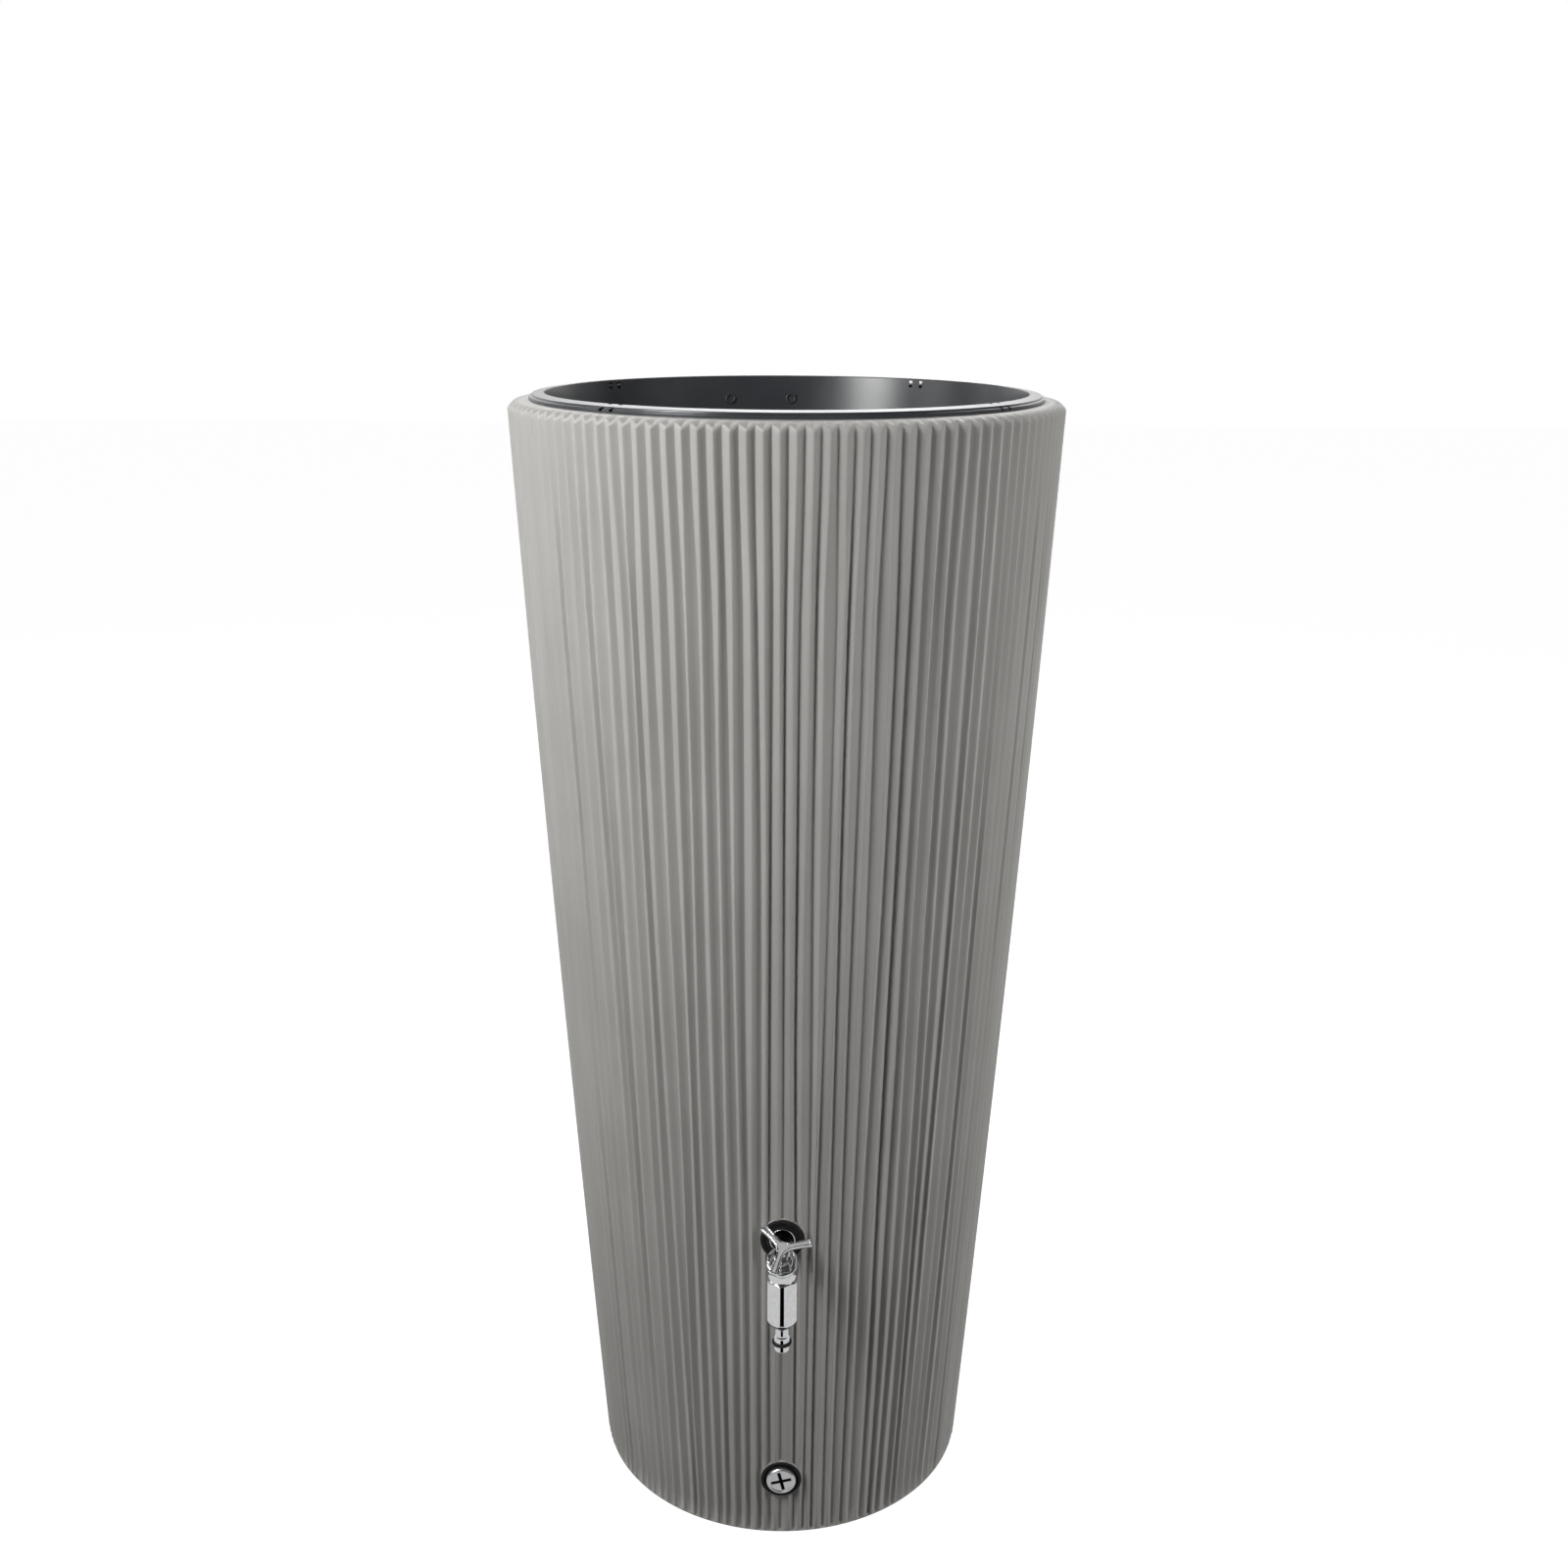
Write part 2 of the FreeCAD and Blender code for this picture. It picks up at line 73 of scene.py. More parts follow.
# A closed mesh from rows of rings. Each ring joins the next; the first and last are closed to their own
# middles, or to each other where wrap is set. Faces are turned outwards by the sign of the volume.
def skin(name, grid, wrap=False, sharp=35):
    rows, columns = grid.shape[:2]
    index = np.arange(rows * columns).reshape(rows, columns)
    lower = index if wrap else index[:-1]
    upper = np.roll(index, -1, 0) if wrap else index[1:]
    quads = np.stack([lower, np.roll(lower, -1, 1), np.roll(upper, -1, 1), upper], -1).reshape(-1, 4)
    points = grid.reshape(-1, 3)
    fans = np.zeros((0, 3), int)
    if not wrap:
        points = np.vstack([points, grid[[0, -1]].mean(1)])
        low, high = index[0], index[-1]
        lowMiddle, highMiddle = np.full((2, columns), [[rows * columns], [rows * columns + 1]])
        fans = np.vstack([
            np.stack([np.roll(low, -1), low, lowMiddle], -1),
            np.stack([high, np.roll(high, -1), highMiddle], -1)])
    corners = points[np.vstack([quads[:, :3], quads[:, [0, 2, 3]], fans])]
    volume = (corners[:, 0] * np.cross(corners[:, 1], corners[:, 2])).sum()
    if volume < 0:
        quads = quads[:, ::-1]
        fans = fans[:, ::-1]
    mesh = bpy.data.meshes.new(name)
    mesh.from_pydata(points.tolist(), [], quads.tolist() + fans.tolist())
    mesh.shade_smooth()
    mesh.set_sharp_from_angle(angle=math.radians(sharp))
    piece = bpy.data.objects.new(name, mesh)
    scene.collection.objects.link(piece)
    return piece


# An outline of (radius, height, rounding) corners as an array of (radius, height). A rounded corner is a
# short curve that leaves each side at the rounding's distance, with one more point just outside each end.
def rounded(corners, closed=False, steps=5):
    corners = np.array(corners, float)
    points = corners[:, :2]
    before = np.roll(points, 1, 0)
    after = np.roll(points, -1, 0)
    out = []
    for number, (here, back, on, size) in enumerate(zip(points, before, after, corners[:, 2])):
        ends = not closed and number in (0, len(points) - 1)
        if ends or size <= 0:
            out.append(here[None])
            continue
        toBack = back - here
        toNext = on - here
        backLength = np.hypot(*toBack)
        nextLength = np.hypot(*toNext)
        reach = min(size, 0.42 * backLength, 0.42 * nextLength)
        start = here + toBack / backLength * reach
        stop = here + toNext / nextLength * reach
        q = np.linspace(0, 1, steps)[:, None]
        curve = (1 - q) ** 2 * start + 2 * q * (1 - q) * here + q ** 2 * stop
        out.append(np.vstack([here + (start - here) * 1.12, curve, here + (stop - here) * 1.12]))
    return np.vstack(out)


# A shape turned about an axis: every outline point goes round it in a ring.
def turnedPiece(name, axis, corners, closed=False, columns=96, steps=5):
    outline = rounded(corners, closed, steps)
    angle = np.arange(columns) * 2 * math.pi / columns
    radius, height = outline[:, :1], outline[:, 1:]
    grid = placed(axis, radius * np.cos(angle), radius * np.sin(angle), height + 0 * angle)
    return skin(name, grid, closed)


# A rectangular cutter: a box beside an axis, given by its middle, its half sizes and its turn.
def boxTool(name, axis, middle, half, turn):
    along = np.array([-1, 1]) * half[2] + middle[2]
    x = np.array([-1, 1, 1, -1]) * half[0] + middle[0]
    y = np.array([-1, -1, 1, 1]) * half[1] + middle[1]
    c, s = math.cos(turn), math.sin(turn)
    level = along[:, None]
    grid = placed(axis, (c * x - s * y) + 0 * level, (s * x + c * y) + 0 * level, level + 0 * x)
    return skin(name, grid)


# Cuts tools out of a piece, or adds them to it, and keeps the result as the piece's own mesh.
def carve(piece, tools, operation="DIFFERENCE", sharp=35):
    for tool in tools:
        change = piece.modifiers.new("carve", "BOOLEAN")
        change.operation = operation
        change.solver = "MANIFOLD"
        change.object = tool
    kept = bpy.data.meshes.new_from_object(piece.evaluated_get(bpy.context.evaluated_depsgraph_get()))
    kept.name = piece.name
    piece.modifiers.clear()
    piece.data = kept
    for tool in tools:
        bpy.data.objects.remove(tool)
    kept.shade_smooth()
    kept.set_sharp_from_angle(angle=math.radians(sharp))
    return piece


# Shades the faces that look straight along a direction flat, so that they mirror like a flat plate.
def flatFaces(piece, way):
    polygons = piece.data.polygons
    normals = np.zeros(3 * len(polygons))
    polygons.foreach_get("normal", normals)
    facing = np.abs(normals.reshape(-1, 3) @ np.array(way)) > 0.9995
    polygons.foreach_set("use_smooth", ~facing)
    return piece


# Rises from 0 to 1 between two limits, level at both.
def smoothStep(low, high, value):
    part = np.clip((value - low) / (high - low), 0, 1)
    return part * part * (3 - 2 * part)


# shader tools

# Wraps one output of a material's nodes, so that sums and products on it add Math nodes.
class Shade:
    def __init__(self, tree, socket=None):
        self.tree = tree
        self.socket = socket

    # Adds a node of a type, sets its own settings first, then its sockets' values or links.
    def make(self, kind, settings=None, inputs=None, output=0):
        node = self.tree.nodes.new("ShaderNode" + kind)
        for key, value in (settings or {}).items():
            setattr(node, key, value)
        for key, value in (inputs or {}).items():
            if isinstance(value, Shade):
                self.tree.links.new(value.socket, node.inputs[key])
            else:
                node.inputs[key].default_value = value
        return Shade(self.tree, None if output is None else node.outputs[output])

    def maths(self, operation, first, second):
        return self.make("Math", {"operation": operation}, {0: first, 1: second})

    def __add__(self, other):
        return self.maths("ADD", self, other)

    __radd__ = __add__

    def __sub__(self, other):
        return self.maths("SUBTRACT", self, other)

    def __rsub__(self, other):
        return self.maths("SUBTRACT", other, self)

    def __mul__(self, other):
        return self.maths("MULTIPLY", self, other)

    __rmul__ = __mul__

    # Noise on the piece's own coordinates, as a value from about 0 to 1. stretch scales each direction.
    def noise(self, scale, detail=2.0, roughness=0.5, stretch=(1, 1, 1)):
        place = self.make("TexCoord", output="Object")
        if stretch != (1, 1, 1):
            place = self.make("Mapping", None, {"Vector": place, "Scale": stretch})
        return self.make("TexNoise", None, {
            "Vector": place, "Scale": scale, "Detail": detail, "Roughness": roughness})

    # One colour to another by a mask.
    def blend(self, mask, first, second):
        return self.make("Mix", {"data_type": "RGBA"}, {0: mask, 6: first, 7: second}, 2)

    # A mask of 0 to 1 where a value passes from low to high.
    def between(self, value, low, high):
        return self.make("MapRange", {"interpolation_type": "SMOOTHSTEP"},
                         {"Value": value, "From Min": low, "From Max": high})


def colour(red, green, blue):
    return (red, green, blue, 1.0)


# A material: fixed numbers go on the shader's own sockets, and build adds what varies.
def finishOf(name, fixed, build):
    material = bpy.data.materials.new(name)
    material.use_nodes = True
    tree = material.node_tree
    tree.nodes.clear()
    shade = Shade(tree)
    varied, bump = build(shade)
    if bump is not None:
        height, strength, distance = bump
        varied["Normal"] = shade.make("Bump", None, {
            "Height": height, "Strength": strength, "Distance": distance})
    surface = shade.make("BsdfPrincipled", None, {**fixed, **varied})
    shade.make("OutputMaterial", None, {"Surface": surface}, None)
    return material


# Gives a piece its material and body, and hides the CAD nodes it stands for; the slot is not used.
def settle(piece, material, body, slot, *stoodFor):
    piece.data.materials.clear()
    piece.data.materials.append(material)
    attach(piece, body)
    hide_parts(*stoodFor)
    return piece


# finishes

tankFinish = {
    "light": colour(0.470, 0.460, 0.441),
    "deep": colour(0.426, 0.416, 0.397),
    "roughness": 0.46,
    "grain": 900.0,
}


# Moulded polyethylene: a matt grey with a faint clouding, soft upright flow lines and a fine grain.
def tankPlastic(shade):
    clouds = shade.noise(7.0, 3.0)
    flow = shade.noise(42.0, 2.0, 0.5, (1, 1, 0.06))
    grain = shade.noise(tankFinish["grain"], 2.0, 0.6)
    mask = shade.between(0.55 * clouds + 0.45 * flow, 0.36, 0.64)
    base = shade.blend(mask, tankFinish["deep"], tankFinish["light"])
    rough = tankFinish["roughness"] - 0.05 + 0.10 * grain
    return {"Base Color": base, "Roughness": rough}, (grain + 0.8 * flow, 0.16, 0.0004)


greyTank = finishOf("greyTank", {"IOR": 1.48, "Specular IOR Level": 0.42}, tankPlastic)

bowlFinish = {
    "light": colour(0.044, 0.047, 0.052),
    "deep": colour(0.034, 0.037, 0.042),
    "roughness": 0.30,
}


# Anthracite plastic with a satin skin: a little rougher where the clouding is lighter.
def bowlPlastic(shade):
    clouds = shade.noise(11.0, 3.0)
    grain = shade.noise(1100.0, 2.0, 0.6)
    mask = shade.between(clouds, 0.35, 0.65)
    base = shade.blend(mask, bowlFinish["deep"], bowlFinish["light"])
    rough = bowlFinish["roughness"] - 0.03 + 0.04 * mask + 0.04 * grain
    return {"Base Color": base, "Roughness": rough}, (grain, 0.12, 0.0003)


darkBowl = finishOf("darkBowl", {"IOR": 1.55}, bowlPlastic)


# Plated casting: bright, with a slight waviness and faint wiping haze.
def plating(shade):
    wave = shade.noise(60.0, 1.0)
    haze = shade.noise(220.0, 3.0, 0.6)
    mask = shade.between(haze, 0.3, 0.75)
    base = shade.blend(mask, colour(0.80, 0.81, 0.82), colour(0.90, 0.90, 0.91))
    return {"Base Color": base, "Roughness": 0.03 + 0.06 * haze}, (wave, 0.10, 0.0005)


chrome = finishOf("chrome", {"Metallic": 1.0}, plating)


# The same plating with painted shade round the tap's neck, close to the wall: near the seat's axis the neck
# and the lock ring's recess are painted near black and rougher, as shade.
def neckShadePlating(shade):
    varied, bump = plating(shade)
    place = shade.make("TexCoord", output="Object")
    x, depth, height = (shade.make("SeparateXYZ", None, {"Vector": place}, part) for part in "XYZ")
    up = height - joints["handle_turn"]["pos_m"][2]
    near = 1.0 - shade.between(x * x + up * up, 0.0118 ** 2, 0.0121 ** 2)
    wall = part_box("tap_lock_ring")[0].y
    # painted shade: near black close to the seat's axis, from the wall to about 21 mm out past the lock
    # ring's face
    paintedNeckShade = near * shade.between(depth, wall - 0.0215, wall - 0.0205)
    base = shade.blend(paintedNeckShade, varied["Base Color"], colour(0.012, 0.012, 0.013))
    return {"Base Color": base, "Roughness": varied["Roughness"] + 0.4 * paintedNeckShade}, bump


shadedNeckChrome = finishOf("shadedNeckChrome", {"Metallic": 1.0}, neckShadePlating)


# Satin nickel with fine grain, and painted shade in the plug's recess: what lies deeper than a set level
# under the plug's face, and nearer its middle than the rim, is painted dark and loses its shine, as shade
# in the cross's slots.
def satinMetalLook(shade):
    haze = shade.noise(300.0, 3.0, 0.6)
    grain = shade.noise(2200.0, 2.0)
    base = shade.blend(haze, colour(0.60, 0.61, 0.62), colour(0.72, 0.72, 0.73))
    place = shade.make("TexCoord", output="Object")
    x, depth, height = (shade.make("SeparateXYZ", None, {"Vector": place}, part) for part in "XYZ")
    up = height - joints["drain_turn"]["pos_m"][2]
    near = 1.0 - shade.between(x * x + up * up, 0.0125 ** 2, 0.0129 ** 2)
    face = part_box("drain_plug")[0].y
    # painted shade: near black in the deep slots of the cross
    slotShade = near * shade.between(depth, face + 0.0014, face + 0.0024)
    base = shade.blend(slotShade, base, colour(0.006, 0.006, 0.007))
    return {"Base Color": base, "Roughness": 0.30 + 0.14 * grain + 0.3 * slotShade}, (grain, 0.10, 0.0002)


satinMetal = finishOf("satinMetal", {"Metallic": 1.0}, satinMetalLook)


# Turned stainless steel with a faint haze.
def steelLook(shade):
    haze = shade.noise(260.0, 3.0, 0.6)
    base = shade.blend(haze, colour(0.52, 0.53, 0.55), colour(0.64, 0.65, 0.66))
    return {"Base Color": base, "Roughness": 0.20 + 0.16 * haze}, (haze, 0.08, 0.0002)


steel = finishOf("steel", {"Metallic": 1.0}, steelLook)


# Brass, duller and browner where it has tarnished.
def brassLook(shade):
    tarnish = shade.noise(150.0, 4.0, 0.6)
    mask = shade.between(tarnish, 0.35, 0.7)
    base = shade.blend(mask, colour(0.74, 0.55, 0.25), colour(0.48, 0.33, 0.14))
    return {"Base Color": base, "Roughness": 0.22 + 0.22 * tarnish}, (tarnish, 0.10, 0.0002)


brass = finishOf("brass", {"Metallic": 1.0}, brassLook)


# Moulded rubber: near black, dull, with a dusty bloom in patches.
def rubberLook(shade):
    bloom = shade.noise(90.0, 4.0, 0.65)
    grain = shade.noise(1600.0, 2.0)
    mask = shade.between(bloom, 0.4, 0.8)
    base = shade.blend(mask, colour(0.012, 0.012, 0.012), colour(0.030, 0.030, 0.029))
    return {"Base Color": base, "Roughness": 0.50 + 0.20 * bloom}, (grain, 0.2, 0.0003)


blackRubber = finishOf("blackRubber", {"IOR": 1.5, "Specular IOR Level": 0.22}, rubberLook)


# Pressed fibre for the bonnet's gasket: reddish brown with short fibres.
def fibreLook(shade):
    fibres = shade.noise(700.0, 4.0, 0.7, (1, 0.3, 1))
    base = shade.blend(fibres, colour(0.18, 0.055, 0.030), colour(0.30, 0.11, 0.06))
    return {"Base Color": base, "Roughness": 0.70 + 0.2 * fibres}, (fibres, 0.3, 0.0003)


fibre = finishOf("fibre", {}, fibreLook)
print("finishes made")


# the tank

tank = {
    "footRadius": 218.0,
    "rimRadius": 290.0,
    "bulge": 3.4,
    "shoulder": 1254.0,
    "pleats": 120,
    "valleyTurn": 0.36,        # degrees from the front to the first valley
    "pleatDepth": 4.6,
    "ridgeRound": 0.9,
    "valleyRound": 0.5,
    "capRound": 4.2,
    "capFrom": 1247.0,
    "capHeight": 1252.4,       # where a valley's wall would meet the shoulder
    "capSlope": (285.6, 1.05),  # past this radius it meets it lower, by so much a millimetre
    "wanderTop": 1235.0,       # the pleats are even above this height
    "wanderReach": 170.0,      # and fully uneven this far below it
    "ridgeWander": 0.17,       # in pleats
    "valleyWander": 0.17,
    "depthWander": 0.06,
    "narrowest": 0.24,         # no facet is narrower than this share of a pleat
    "waves": ((2400.0, 0.60), (1150.0, 0.30), (560.0, 0.10)),
    "seed": 20,
    "rows": (3.0, 1243.0, 20.0),
    "mouthRadius": 257.0,
    "lipDepth": 18.0,
    "lipWall": 5.0,
    "innerGap": 7.4,           # from the ridges to the inner wall
    "innerLevels": (1150.0, 900.0, 600.0, 300.0, 120.0, 24.0),
    "floor": 12.0,
    "footRing": (2.6, 1.3),    # the plain band under the pleats: its height, and how far it is set in
    "footOutline": ((60.0, 0.0), (60.5, 6.0), (189.5, 6.0), (190.0, 0.0), (196.0, 0.0)),
}


# The ridges' radius at a height: a straight taper from foot to rim, plus a slight bulge.
def wallRadius(height):
    part = height / tank["shoulder"]
    return (tank["footRadius"] + (tank["rimRadius"] - tank["footRadius"]) * part
            + 4 * tank["bulge"] * part * (1 - part))


# Slow waves down the height, different for each pleat: a sum of sines with random lengths and phases.
def slowWaves(random, height, count):
    total = np.zeros((len(height), count))
    for length, share in tank["waves"]:
        wave = length * random.uniform(0.75, 1.35, count)
        phase = random.uniform(0, 2 * math.pi, count)
        total += share * np.sin(2 * math.pi * height[:, None] / wave + phase)
    return total * 1.6


# The pleated wall goes round as ridge and valley lines that wander down the height, with flat facets
# between them. Each facet's ends are eased over the rounding, so ridges and valleys aren't knife edges.
def ribbedTank():
    count = tank["pleats"]
    random = np.random.default_rng(tank["seed"])
    lowRow, topRow, rowStep = tank["rows"]
    ringHeight, ringInset = tank["footRing"]
    height = np.concatenate([[1.0, ringHeight], np.arange(lowRow, topRow, rowStep) + 1.2, [topRow]])
    wanderTop = tank["wanderTop"]
    uneven = 1 - smoothStep(wanderTop - tank["wanderReach"], wanderTop, height)[:, None]
    ridgeShift = tank["ridgeWander"] * uneven * slowWaves(random, height, count)
    valleyShift = tank["valleyWander"] * uneven * slowWaves(random, height, count)
    depth = tank["pleatDepth"] * (1 + tank["depthWander"] * uneven * slowWaves(random, height, count))
    turn = np.arange(count)[None, :]
    valley = turn + valleyShift
    nextValley = np.roll(valley, -1, 1)
    nextValley[:, -1] += count
    ridge = np.clip(turn + 0.5 + ridgeShift, valley + tank["narrowest"], nextValley - tank["narrowest"])
    nextDepth = np.roll(depth, -1, 1)
    pitch = 2 * math.pi * wallRadius(height)[:, None] / count

    # eight columns for each pleat: valley, rising facet, ridge, falling facet
    columns = []
    for start, finish, fallFrom, fallTo, roundFrom, roundTo in (
            (valley, ridge, depth, 0 * depth, tank["valleyRound"], tank["ridgeRound"]),
            (ridge, nextValley, 0 * depth, nextDepth, tank["ridgeRound"], tank["valleyRound"])):
        width = (finish - start) * pitch
        near = np.clip(roundFrom / width, 0, 0.3)
        far = np.clip(roundTo / width, 0, 0.3)
        drop = fallTo - fallFrom
        halfWay = 0 * near + 0.5
        for share, ease in ((0 * near, 0.45 * near), (near, near), (halfWay, halfWay), (1 - far, 1 - far)):
            columns.append((start + (finish - start) * share, fallFrom + drop * ease))
    turns, falls = (np.stack(part, -1).reshape(len(height), -1) for part in zip(*columns))
    angle = turns * 2 * math.pi / count + math.radians(tank["valleyTurn"])
    falls[:2] = ringInset
    radius = wallRadius(height)[:, None] - falls
    level = np.repeat(height[:, None], radius.shape[1], 1)

    # the pleats' tops: each column bends over into the sloping shoulder in a small curve
    top = wallRadius(tank["capFrom"]) - falls[-1]
    evenAngle = angle[-1]
    slopeRadius, slope = tank["capSlope"]
    corner = tank["capHeight"] - slope * np.clip(top - slopeRadius, 0, None)
    q = np.linspace(0, 1, 5)[:, None]
    low, middle, high = (1 - q) ** 2, 2 * q * (1 - q), q ** 2
    size = tank["capRound"]
    capRadius = low * top + middle * top + high * (top - size)
    capLevel = low * (corner - size) + middle * corner + high * (corner + 0.45)

    # shoulder, mouth with its turned-in lip, inner wall and floor, as (radius, height)
    mouth, crest = tank["mouthRadius"], tank["shoulder"]
    lipLow, behindLip = crest - tank["lipDepth"], mouth + tank["lipWall"]
    inside = [
        (276.5, 1253.3), (272.0, 1253.9), (267.0, crest), (mouth + 1.5, crest), (mouth + 0.4, 1253.6),
        (mouth, 1252.5), (mouth, lipLow), (behindLip, lipLow), (behindLip, 1248.0), (281.0, 1247.0),
        (282.6, 1243.0)]
    inside += [(wallRadius(level) - tank["innerGap"], level) for level in tank["innerLevels"]]
    inside += [(205.0, tank["floor"]), (100.0, tank["floor"])]

    # rings that are the same all round; their columns sit where the top row's do
    def plainRings(outline):
        radii, levels = np.array(outline).T[:, :, None] + 0 * evenAngle
        return radii, levels, np.repeat(evenAngle[None], len(outline), 0)

    foot = plainRings(tank["footOutline"])
    rest = plainRings(inside)
    edge = (radius[:1] - 1.0, 0 * radius[:1], angle[:1])
    cap = (capRadius, capLevel, np.repeat(evenAngle[None], len(q), 0))
    wall = (radius, level, angle)
    radii, levels, angles = (np.vstack(parts) for parts in zip(foot, edge, wall, cap, rest))
    front = angles - math.pi / 2
    grid = placed(upright, radii * np.cos(front), radii * np.sin(front), levels)
    return skin("ribbedTank", grid, sharp=70)


upright = axisAt((0, 0, 0), (0, 0, 1))
tapSeat = axisAt((0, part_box("tap_rosette")[1].y, joints["handle_turn"]["pos_m"][2]), (0, -1, 0))
drainSeat = axisAt((0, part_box("drain_seal")[1].y, joints["drain_turn"]["pos_m"][2]), (0, -1, 0))
fittingSeats = (
    # a thin collar's radius, height above the seat and root, then the pocket's and the hole's radius
    (tapSeat, {"collar": 24.2, "rise": 2.6, "root": 7.0, "pocket": 23.6, "hole": 13.68}),
    (drainSeat, {"collar": 23.5, "rise": 7.6, "root": 9.0, "pocket": 22.9, "hole": 16.4}),
)

shell = ribbedTank()
carve(shell, [
    turnedPiece("collar", axis, [(f["collar"], -f["root"], 0), (f["collar"], f["rise"], 0)], columns=120)
    for axis, f in fittingSeats], "UNION", 70)
carve(shell, [
    turnedPiece("pocket", axis, [
        (f["hole"], -30, 0), (f["hole"], 0, 0), (f["pocket"], 0, 0), (f["pocket"], 40, 0)], columns=120)
    for axis, f in fittingSeats], "DIFFERENCE", 70)
settle(shell, greyTank, "tank", "grey_tank", "barrel_shell")
print("tank made,", len(shell.data.vertices), "points")


# the planter bowl

bowl = {
    "middle": 60.0,
    "crest": 1261.6,
    "throat": 251.5,
    "depth": 205.0,
    "base": 218.0,
    "baseRound": 14.0,
    "wall": 3.5,
    "bead": 263.4,
    "crestFall": 1.8,
    "lip": 267.5,
    "lipTop": 1257.8,
    "seat": 1254.0,
    "seatRadius": 255.0,
    "slotTurns": (53.3, 141.3, 231.0, 321.3),
    "slotWidth": 4.2,
    "slotSpread": 13.4,
    "slotRows": ((0.4, 2.4, 4.0), (4.4, 3.4, 20.0), (8.8, 2.8, 7.0)),  # drop, height and reach of each row
    "markTurns": (88.8, 105.7),
    "markDrop": 26.4,
    "markRing": (4.0, 6.2),
    "markRise": 1.8,
    "columns": 480,
}


# The bowl's section turned about the upright: floor, drafted wall, crest, bead, lip and the wall's outside.
def planterBowl():
    floor = bowl["crest"] - bowl["depth"]
    under = floor - bowl["wall"]
    outline = [
        (bowl["middle"], under, 0), (bowl["base"] + bowl["wall"], under, bowl["baseRound"]),
        (bowl["seatRadius"] - 8, 1200, 0), (bowl["seatRadius"], 1249, 3),
        (bowl["seatRadius"], bowl["seat"], 0.4),
        (bowl["lip"], bowl["seat"], 0.4), (bowl["lip"], bowl["lipTop"], 1.3),
        (bowl["bead"] + 1.2, bowl["lipTop"], 0.4),
        (bowl["bead"] + 0.8, bowl["crest"] - bowl["crestFall"], 1.1),
        (bowl["throat"] + 0.2, bowl["crest"], 1.6), (bowl["throat"] - 4, bowl["crest"] - 24.5, 0),
        (bowl["base"] + 12, floor + 73.4, 0), (bowl["base"], floor, bowl["baseRound"]),
        (bowl["middle"], floor, 0)]
    piece = turnedPiece("planterBowl", upright, outline, columns=bowl["columns"], steps=6)
    tools = []
    for turn in bowl["slotTurns"]:
        for side in (-1, 1):
            for drop, tall, reach in bowl["slotRows"]:
                # the far pairs' middle windows run straight from front to back, the others radially
                cut = 90 if reach > 10 and turn < 180 else turn
                way = np.exp(1j * math.radians(turn - cut))
                place = (bowl["throat"] + side * bowl["slotSpread"] / 2 * 1j) * way
                tools.append(boxTool(
                    "slot", upright, (place.real, place.imag, bowl["crest"] - drop),
                    (reach, bowl["slotWidth"] / 2, tall / 2), math.radians(cut)))
    carve(piece, tools)
    return piece


# A raised drilling mark on the inner wall: a low ring that stands out towards the bowl's middle.
def drillMark(turn):
    level = bowl["crest"] - bowl["markDrop"]
    share = (bowl["depth"] - bowl["markDrop"]) / bowl["depth"]
    inner = bowl["base"] + (bowl["throat"] - bowl["base"]) * share
    a = math.radians(turn)
    outwards = np.array([math.cos(a), math.sin(a), 0.0])
    lean = math.atan2(bowl["throat"] - bowl["base"], bowl["depth"])
    inwards = -outwards * math.cos(lean) + np.array([0, 0, math.sin(lean)])
    sideways = np.array([-math.sin(a), math.cos(a), 0.0])
    axis = axisAt(outwards * inner * millimetre + np.array([0, 0, level * millimetre]), inwards, sideways)
    hole, edge = bowl["markRing"]
    rise = bowl["markRise"]
    return turnedPiece("drillMark", axis, [
        (hole, -1.5, 0), (edge, -1.5, 0), (edge, rise, 0.8), (hole, rise, 0.8)], closed=True, columns=48)


planter = planterBowl()
carve(planter, [drillMark(turn) for turn in bowl["markTurns"]], "UNION")
settle(planter, darkBowl, "planter", "dark_bowl", "planter_bowl")
print("bowl made,", len(planter.data.vertices), "points")


# the tap

tapStart = joints["handle_turn"]["pos_m"]
spindleLine = axisAt(tapStart, joints["handle_turn"]["axis"])
outletLine = axisAt((tapStart[0], tapStart[1], 0), (0, 0, 1))
reachOut = 1000 * (tapSeat["origin"][1] - tapStart[1])  # from the seat to the valve chamber's middle

rosette = {"radius": 23.4, "thick": 3.2, "lip": 4.8, "bore": 10.53, "step": 18.6}
settle(turnedPiece("tapRosette", tapSeat, [
    (rosette["bore"], 0, 0), (rosette["radius"], 0, 0.3), (rosette["radius"], rosette["lip"], 1.6),
    (rosette["step"] + 1.2, rosette["lip"], 0.9), (rosette["step"], rosette["thick"], 0.5),
    (rosette["bore"], rosette["thick"], 0.2)], closed=True),
    blackRubber, "tank", "black_rubber", "tap_rosette")

lockRing = {"radius": 13.6, "thick": 2.0}
settle(turnedPiece("tapLockRing", tapSeat, [
    (rosette["bore"], rosette["thick"], 0), (lockRing["radius"], rosette["thick"], 0.1),
    (lockRing["radius"], rosette["thick"] + lockRing["thick"], 0.7),
    (lockRing["radius"] - 1.5, rosette["thick"] + lockRing["thick"], 0.6),
    (lockRing["radius"] - 1.7, rosette["thick"] + 0.5, 0.2),
    (rosette["bore"], rosette["thick"] + 0.5, 0.1)], closed=True),
    shadedNeckChrome, "tank", "chrome", "tap_lock_ring")

